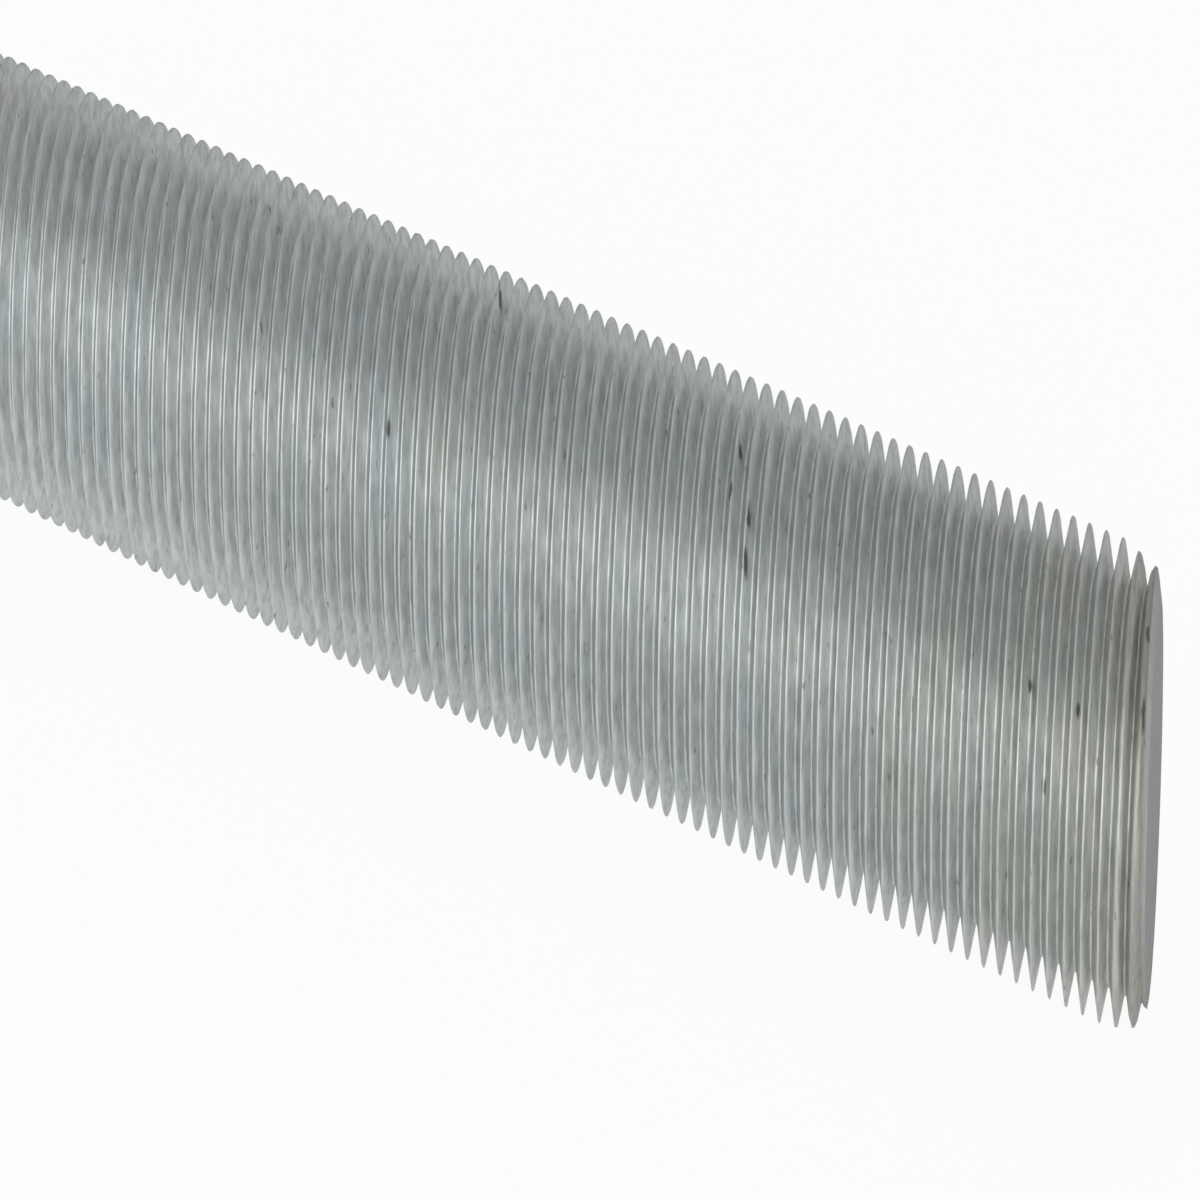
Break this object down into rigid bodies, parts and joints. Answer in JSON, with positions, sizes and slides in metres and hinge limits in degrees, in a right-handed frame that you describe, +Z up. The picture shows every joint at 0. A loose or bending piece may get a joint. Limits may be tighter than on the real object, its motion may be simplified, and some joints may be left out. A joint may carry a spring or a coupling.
{
  "type": "threaded rod",
  "caption": "Left-hand threaded rod in zinc-plated steel, threaded from end to end with chamfered ends, for clamping or tensioning parts with nuts.",
  "frame": {"origin": "middle of the rod's axis", "axes": "+X along the rod towards the end that the picture shows, +Z up with the rod lying level, +Y across the rod"},
  "size_m": [0.165, 0.016, 0.016],
  "materials": {
    "zinc_plated_steel": "bright zinc plating, lightly scuffed"
  },
  "bodies": {
    "root": {"threaded_rod": "zinc_plated_steel"}
  },
  "joints": []
}
